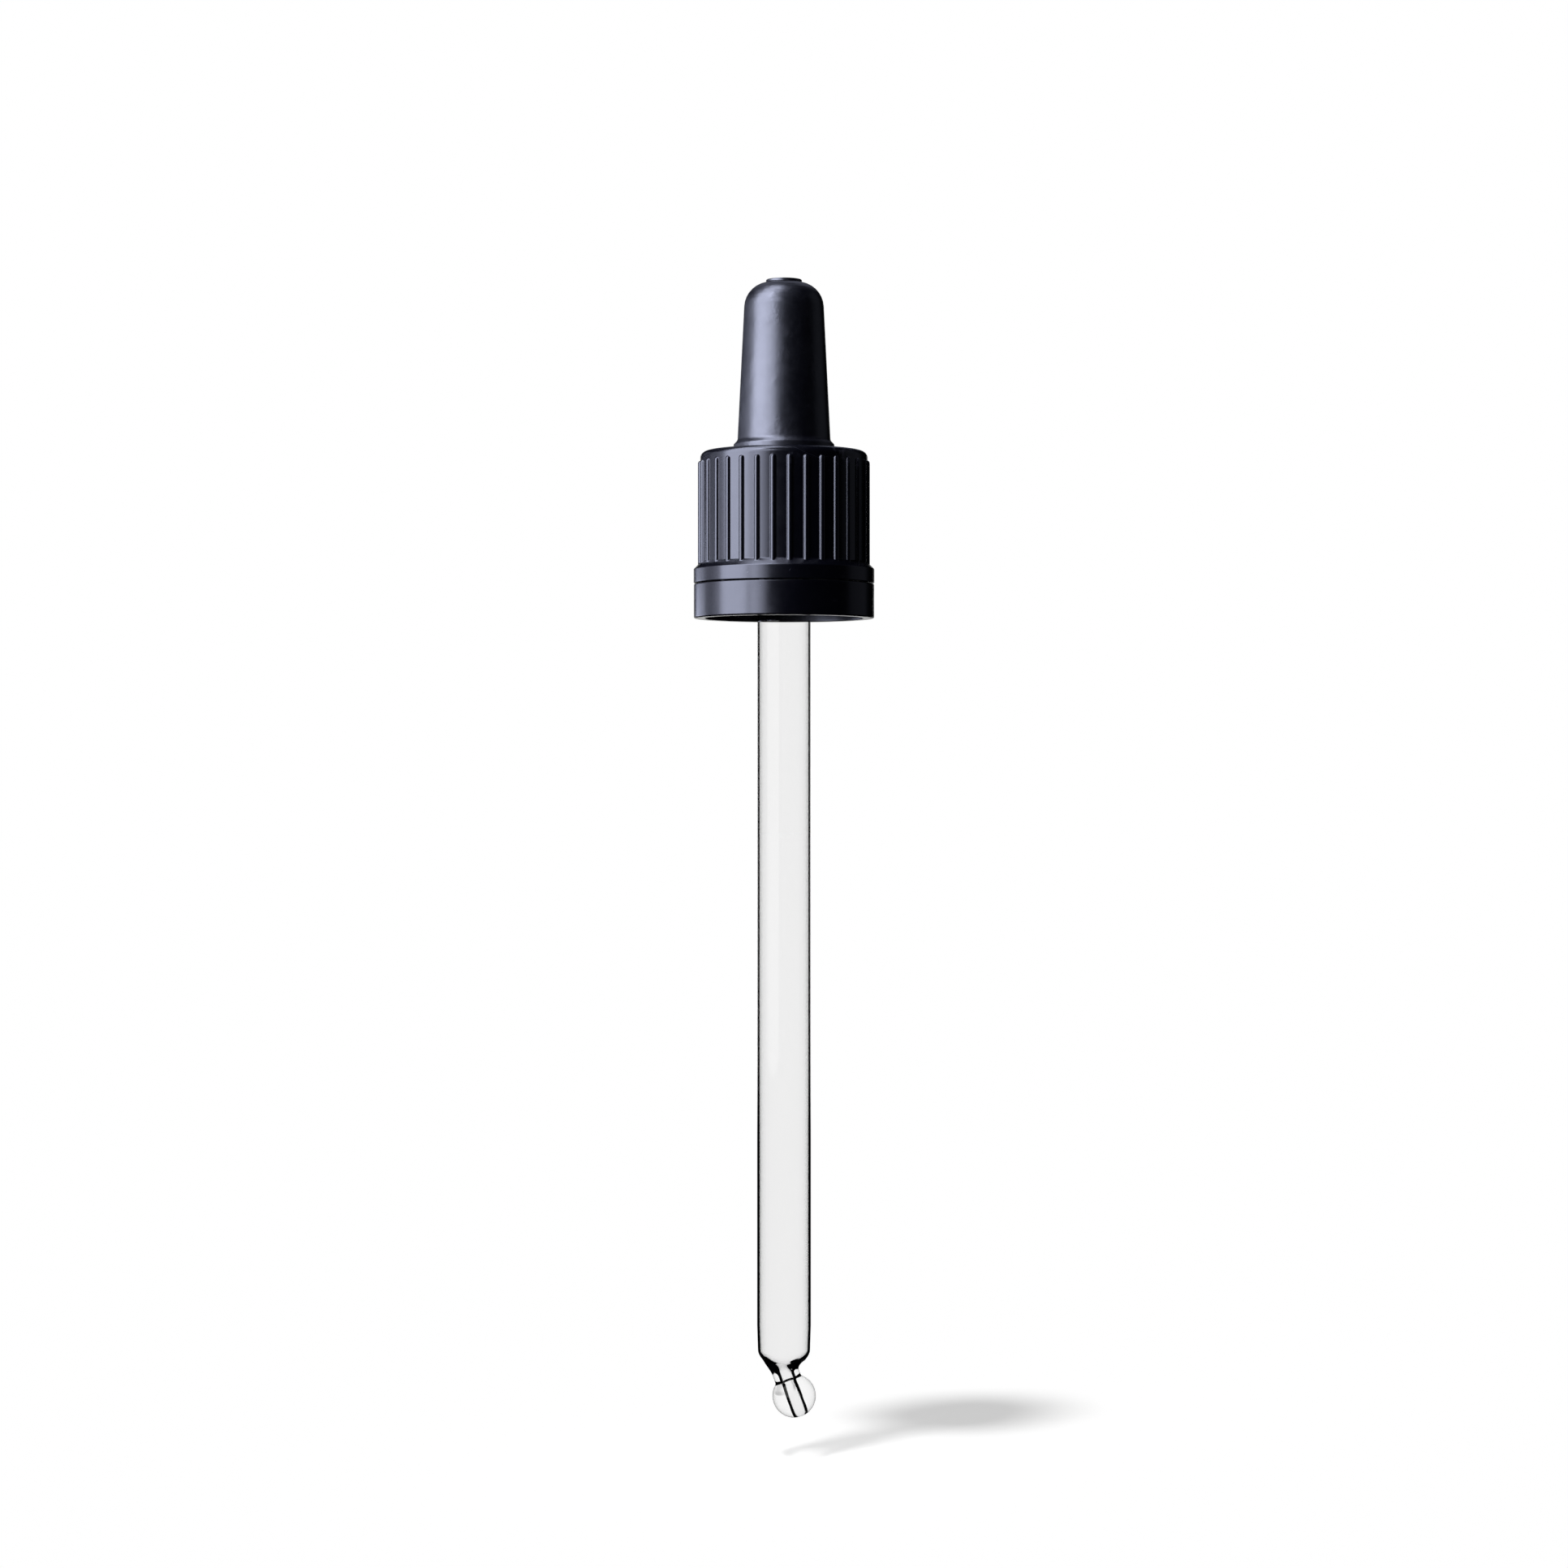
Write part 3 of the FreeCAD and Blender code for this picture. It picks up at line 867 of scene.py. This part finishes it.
cells = tree.nodes.new("ShaderNodeTexVoronoi")
tree.links.new(source.outputs["Vector"], cells.inputs["Vector"])
tree.links.new(source.outputs["Speck Scale"], cells.inputs["Scale"])
speck = add_range(tree, cells.outputs["Distance"], *SPECK_RANGE, SPECK_MOST, 0.0)
scuff = add_math(tree, "MAXIMUM", scratch, speck)
scuff = add_math(tree, "MAXIMUM", smudge, scuff)
tree.links.new(scuff, target.inputs["Scuff"])
print("groups:", [g.name for g in bpy.data.node_groups])

# %% [markdown]
# ## Black plastic and black rubber
# Both are nearly black and show themselves by their gloss. The plastic is satin: a tight
# mould texture, a fairly clear reflection. The rubber is a little softer in its shine and
# has a faint cloudy bloom. A coat layer could carry the gloss, but then there would be two
# glosses to balance. One layer with a raised specular level is simpler.

# %% Black finishes
HIGH_SPECULAR = 1.0             # twice the usual specular level


def placed(tree, group, values, vector):
    """A group node in a material, with its inputs set by name."""
    node = tree.nodes.new("ShaderNodeGroup")
    node.node_tree = group
    tree.links.new(vector, node.inputs["Vector"])
    for label, value in values.items():
        node.inputs[label].default_value = value
    return node


def black_finish(name, colour, scuffed_colour, rough_range, scuff_rough, index,
                 bump_height, grain, marks):
    """A moulded black material, duller in cloudy patches and paler on scuffs."""
    material, tree, shader = new_material(name)
    shader.inputs["IOR"].default_value = index
    shader.inputs["Specular IOR Level"].default_value = HIGH_SPECULAR
    coordinates = tree.nodes.new("ShaderNodeTexCoord").outputs["Object"]
    marks_node = placed(tree, marks_group, marks, coordinates)
    grain_node = placed(tree, grain_group, grain, coordinates)

    shades = toned(tree, marks_node.outputs["Scuff"], colour, scuffed_colour)
    tree.links.new(shades, shader.inputs["Base Color"])
    rough = add_range(tree, marks_node.outputs["Cloud"], 0.0, 1.0, *rough_range)
    rough = add_math(tree, "MULTIPLY_ADD", marks_node.outputs["Scuff"], scuff_rough, rough)
    tree.links.new(rough, shader.inputs["Roughness"])
    add_bump(tree, shader, grain_node.outputs["Height"], bump_height)
    return material


black_plastic = black_finish(
    "black plastic", colour=(0.0008, 0.0009, 0.0026), scuffed_colour=(0.030, 0.031, 0.042),
    rough_range=(0.22, 0.26), scuff_rough=0.08, index=1.53, bump_height=0.0006 * MM,
    grain={"Grain Scale": 7000.0, "Ripple Scale": 1200.0, "Patch Scale": 250.0,
           "Ripple Share": 1.5},
    marks={"Cloud Scale": 260.0, "Mottle Scale": 1100.0, "Smudge Scale": 170.0,
           "Scratch Scale": 90.0, "Speck Scale": 500.0})
black_rubber = black_finish(
    "black rubber", colour=(0.0010, 0.0011, 0.0030), scuffed_colour=(0.012, 0.0125, 0.018),
    rough_range=(0.30, 0.37), scuff_rough=0.04, index=1.71, bump_height=0.0020 * MM,
    grain={"Grain Scale": 6000.0, "Ripple Scale": 2100.0, "Patch Scale": 280.0,
           "Ripple Share": 19.0},
    marks={"Cloud Scale": 320.0, "Mottle Scale": 1300.0, "Smudge Scale": 150.0,
           "Scratch Scale": 60.0, "Speck Scale": 400.0})

# %% Black pieces
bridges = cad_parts["break_bridges"]       # the one CAD piece that stays as it is
bridges.data.materials.clear()
plastic_pieces = (screw_cap, tamper_band, bridges)
rubber_pieces = (teat_base, *bulb_shells.values())
for piece in plastic_pieces:
    piece.data.materials.append(black_plastic)
for piece in rubber_pieces:
    piece.data.materials.append(black_rubber)
print("pieces of plastic:", len(plastic_pieces), "of rubber:", len(rubber_pieces))

# %% [markdown]
# ## Clear glass
# Glass is a clear shader with the index of refraction of common glass. Faint lengthwise
# waves make it look drawn. Its shadow needs a trick, because a path tracer can't aim at a
# lamp through a surface that bends light, and caustics are slow and grainy. So for shadow
# rays alone the shader is swapped for a transparent one, greyer where the light meets the
# wall at a slant.

# %% Glass finish
WAVE_SCALE = 260.0
WAVE_STRETCH = 0.02             # the waves are fifty times longer than they are wide
WAVE_HEIGHT = 0.004 * MM
clear_glass, tree, shader = new_material("clear glass")
shader.inputs["Base Color"].default_value = (1.0, 1.0, 1.0, 1.0)
shader.inputs["Roughness"].default_value = 0.0
shader.inputs["IOR"].default_value = 1.5
shader.inputs["Transmission Weight"].default_value = 1.0

coordinates = tree.nodes.new("ShaderNodeTexCoord").outputs["Object"]
drawn = tree.nodes.new("ShaderNodeMapping")
drawn.inputs["Scale"].default_value = (1.0, 1.0, WAVE_STRETCH)
tree.links.new(coordinates, drawn.inputs["Vector"])
waves = add_noise(tree, drawn.outputs["Vector"], WAVE_SCALE, detail=1.0)
add_bump(tree, shader, waves, WAVE_HEIGHT)

# %% Shadow of the glass
FACING_SHADOW = 0.955           # share of light that passes a skin met face on
SLANT_SHADOW = 0.60             # and one that is met at a slant
SLANT_RANGE = (0.30, 0.95)
slant = tree.nodes.new("ShaderNodeLayerWeight")
steep = add_range(tree, slant.outputs["Facing"], *SLANT_RANGE)
see_through = tree.nodes.new("ShaderNodeBsdfTransparent")
shadow_tone = toned(tree, steep, [FACING_SHADOW] * 3, [SLANT_SHADOW] * 3)
tree.links.new(shadow_tone, see_through.inputs["Color"])
path = tree.nodes.new("ShaderNodeLightPath")
skin = chosen(tree, path.outputs["Is Shadow Ray"], shader.outputs["BSDF"],
              see_through.outputs["BSDF"])
tree.links.new(skin, tree.nodes["Material Output"].inputs["Surface"])
glass.data.materials.append(clear_glass)
print("materials:", [m.name for m in bpy.data.materials])

# %% [markdown]
# ## Studio
# A glossy black object is lit by what it mirrors. A tall panel at the left front draws the
# long highlight, and weaker panels beside it, the wings, let it fade in steps. One big
# softbox would be less work, but its highlight would end in a hard edge. The right side is
# left dark so that the form turns into black. The main panels are several times brighter
# than white, because black mirrors only about a tenth of them, but a mid grey that faces
# the camera still comes out as written. The shadow comes from a lamp high above. The camera
# is level and far off with a long lens, so that the long pipette keeps its proportions.

# %% Camera
camera_distance = 483 * MM
camera_height = -40.15 * MM
lens_length = 85                # Blender has these two in millimetres
sensor_width = 36
camera_data = bpy.data.cameras.new("camera")
camera_data.lens = lens_length
camera_data.sensor_width = sensor_width
camera_data.clip_start = 10 * MM
camera = bpy.data.objects.new("camera", camera_data)
camera.location = (0, -camera_distance, camera_height)
camera.rotation_euler = (math.radians(90), 0, 0)
bpy.context.scene.collection.objects.link(camera)
bpy.context.scene.camera = camera
print("the camera sees", in_mm(camera_distance * sensor_width / lens_length), "mm across")

# %% Lamps
PANEL_DISTANCE = 0.60           # metres, from the origin inside the cap
COOL_WHITE = (0.72, 0.765, 1.0)


def add_lamp(name, data, way):
    """A lamp that shines at the cap from the given way."""
    lamp = bpy.data.objects.new(name, data)
    lamp.rotation_mode = "QUATERNION"
    lamp.rotation_quaternion = way.to_track_quat("Z", "Y")
    bpy.context.scene.collection.objects.link(lamp)
    return lamp


def panel_lamp(name, azimuth, elevation, width_angle, height_angle, radiance,
               colour=COOL_WHITE):
    """A rectangular lamp that faces the cap and fills the given angles, all in degrees, as
    seen from it. Azimuth 0 is the camera's side, and negative is to the left."""
    turn, rise = math.radians(azimuth), math.radians(elevation)
    width = 2 * PANEL_DISTANCE * math.tan(math.radians(width_angle) / 2) * math.cos(rise)
    height = 2 * PANEL_DISTANCE * math.tan(math.radians(height_angle) / 2)
    data = bpy.data.lights.new(name, "AREA")
    data.shape = "RECTANGLE"
    data.size, data.size_y = width, height
    data.energy = radiance * math.pi * width * height
    data.color = colour
    way = Vector((math.sin(turn) * math.cos(rise), -math.cos(turn) * math.cos(rise),
                  math.sin(rise)))
    lamp = add_lamp(name, data, way)
    lamp.location = way * PANEL_DISTANCE
    lamp.visible_camera = False
    return lamp


# Name, azimuth, elevation, width, height and radiance of each.
panels = [panel_lamp(*values) for values in (
    ("key panel", -67.5, 22.5, 47, 75, 5.05),
    ("key far edge", -97, 14, 12, 58, 1.0),
    ("inner wing", -39.5, 1, 9, 32, 4.1),
    ("middle wing", -32, 1, 6, 32, 3.1),
    ("outer wing", -26, 1, 6, 32, 1.9),
    ("high wing", -30.5, 26, 27, 18, 3.9),
    ("upper wing", -39.5, 47.5, 15, 25, 5.6),
    ("wing edge", -14.5, 26, 5, 18, 1.7),
    ("top panel", -90, 72, 60, 24, 4.3),
    ("near top panel", -40, 72, 50, 24, 2.6),
    ("low rim panel", -135, -5, 30, 14, 2.7),
    ("side panel", -112, 5, 16, 40, 0.6),
    ("high rim panel", -135, 16, 30, 16, 0.2),
    ("far panel", 110, 10, 40, 60, 0.055),
    ("back panel", 180, 45, 60, 30, 0.31),
)]
print("panels:", len(panels))

# %% High lamp
HIGH_LAMP_STRENGTH = 1.606
HIGH_LAMP_ANGLE = math.radians(5.8)             # its width in the sky softens the shadow
HIGH_LAMP_WAY = Vector((-0.212, -0.29, 1))      # from the object towards the lamp
high_data = bpy.data.lights.new("high lamp", "SUN")
high_data.energy = HIGH_LAMP_STRENGTH
high_data.angle = HIGH_LAMP_ANGLE
high_lamp = add_lamp("high lamp", high_data, HIGH_LAMP_WAY)
high_lamp.visible_glossy = False
print("high lamp tilted by", round(math.degrees(HIGH_LAMP_WAY.angle((0, 0, 1)))), "degrees")

# %% [markdown]
# ### What each ray sees
# White is seen by the camera, through the glass, and in mirrored rays that go towards the
# backdrop behind the object. Elsewhere the gloss mirrors a dark studio, because white all
# round would turn the black to a middle grey. A real backdrop between black flags could do
# this, but its edges would show in other views. Light Path decides it in the materials of
# floor and world instead.

# %% Light Path helpers
BACKDROP_REACH = 15             # degrees that the white backdrop covers either way
BACKDROP_EDGE = 2               # degrees over which it fades, either way of its edge
PLAIN_WHITE = (1.0, 1.0, 1.0)
DARK_COLOUR = (0.70, 0.78, 1.0)
DARK_STRENGTH = 0.0012          # of the dark studio


def seen_directly(tree, place):
    """1 for rays that see the white: the camera's, those through glass, and mirrored ones
    towards the backdrop. The place says which way the ray went, as seen from the object."""
    path = tree.nodes.new("ShaderNodeLightPath")
    unmirrored = add_math(tree, "LESS_THAN", path.outputs["Glossy Depth"], 0.5)
    through = add_math(tree, "MULTIPLY", path.outputs["Is Transmission Ray"], unmirrored)
    way = tree.nodes.new("ShaderNodeVectorMath")
    way.operation = "NORMALIZE"
    towards = tree.nodes.new("ShaderNodeSeparateXYZ")
    tree.links.new(place, way.inputs[0])
    tree.links.new(way.outputs["Vector"], towards.inputs["Vector"])
    outside = math.cos(math.radians(BACKDROP_REACH + BACKDROP_EDGE))
    inside = math.cos(math.radians(BACKDROP_REACH - BACKDROP_EDGE))
    backdrop = add_range(tree, towards.outputs["Y"], outside, inside, smooth=True)
    mirrored = add_math(tree, "MULTIPLY", path.outputs["Is Glossy Ray"], backdrop)
    direct = add_math(tree, "MAXIMUM", path.outputs["Is Camera Ray"], through)
    return add_math(tree, "MAXIMUM", direct, mirrored)


def shining(tree, kind, colour, strength):
    """An emission or background shader in a tree."""
    node = tree.nodes.new(kind)
    node.inputs["Color"].default_value = (*colour, 1.0)
    node.inputs["Strength"].default_value = strength
    return node.outputs[0]


# %% [markdown]
# ### Floor
# The object hangs a little above a wide white sheet, on which its shadow falls. A shadow
# catcher is the usual way to get only a shadow. Here the sheet is diffuse paint with a glow
# added, which comes out near white under the high lamp and keeps the shadow light.

# %% Floor
FLOOR_SIZE = 12.0               # metres
FLOOR_DROP = 5.3 * MM           # from the tip to the floor
FLOOR_SHADE = 0.85
FLOOR_GLOW = 0.404
floor_level = cad_low.z - FLOOR_DROP
floor_mesh = bpy.data.meshes.new("floor")
floor_mesh.from_pydata(
    [(x * FLOOR_SIZE / 2, y * FLOOR_SIZE / 2, floor_level)
     for x, y in ((-1, -1), (1, -1), (1, 1), (-1, 1))], [], [(0, 1, 2, 3)])
floor = bpy.data.objects.new("floor", floor_mesh)
bpy.context.scene.collection.objects.link(floor)
print("floor at", in_mm(floor_level), "mm")

# %% Floor paint
floor_paint, tree, shader = new_material("floor paint")
tree.nodes.remove(shader)
diffuse = tree.nodes.new("ShaderNodeBsdfDiffuse")
diffuse.inputs["Color"].default_value = (*[FLOOR_SHADE] * 3, 1.0)
glow = shining(tree, "ShaderNodeEmission", PLAIN_WHITE, FLOOR_GLOW)
bright = tree.nodes.new("ShaderNodeAddShader")
tree.links.new(diffuse.outputs["BSDF"], bright.inputs[0])
tree.links.new(glow, bright.inputs[1])
unlit = shining(tree, "ShaderNodeEmission", DARK_COLOUR, DARK_STRENGTH)
place = tree.nodes.new("ShaderNodeTexCoord").outputs["Object"]
painted = chosen(tree, seen_directly(tree, place), unlit, bright.outputs["Shader"])
tree.links.new(painted, tree.nodes["Material Output"].inputs["Surface"])
floor_mesh.materials.append(floor_paint)

# %% [markdown]
# ### Which lamp lights what
# The panels are made for the black pieces. They would burn out the floor and cover the
# glass in reflections, and weaker ones would cost the black its highlight. So light linking
# keeps them off both, and one faint panel draws the streaks on the glass. It isn't seen
# through the glass, where it would pale the dark lines along the tube's edges.

# %% Light linking
left_out = bpy.data.collections.new("left out by the panels")
for thing in (floor, glass):
    left_out.objects.link(thing)
for linked in left_out.collection_objects:
    linked.light_linking.link_state = "EXCLUDE"
for panel in panels:
    panel.light_linking.receiver_collection = left_out

glass_only = bpy.data.collections.new("lit by the streak panel")
glass_only.objects.link(glass)
streak_panel = panel_lamp("streak panel", -49, 10, 56, 70, 1.0, PLAIN_WHITE)
streak_panel.light_linking.receiver_collection = glass_only
streak_panel.visible_transmission = False

# %% [markdown]
# ### World
# The world is what a ray finds when it meets nothing else. One plain colour would be
# simplest, but each kind of ray needs its own here: white where the white is seen, a weak
# even light for diffuse surfaces, and almost black for the rest.

# %% World
SOFT_FILL = 0.22
world = bpy.data.worlds.new("studio")
world.use_nodes = True
bpy.context.scene.world = world
tree = world.node_tree
tree.nodes.remove(tree.nodes["Background"])
path = tree.nodes.new("ShaderNodeLightPath")
soft_fill, dark_studio, white = [
    shining(tree, "ShaderNodeBackground", colour, strength) for colour, strength in
    ((PLAIN_WHITE, SOFT_FILL), (DARK_COLOUR, DARK_STRENGTH), (PLAIN_WHITE, 1.0))]
ray_way = tree.nodes.new("ShaderNodeTexCoord").outputs["Generated"]
unseen = chosen(tree, path.outputs["Is Diffuse Ray"], dark_studio, soft_fill)
tree.links.new(
    chosen(tree, seen_directly(tree, ray_way), unseen, white),
    tree.nodes["World Output"].inputs["Surface"])

# %% Finish
bpy.context.scene.view_settings.view_transform = "Standard"
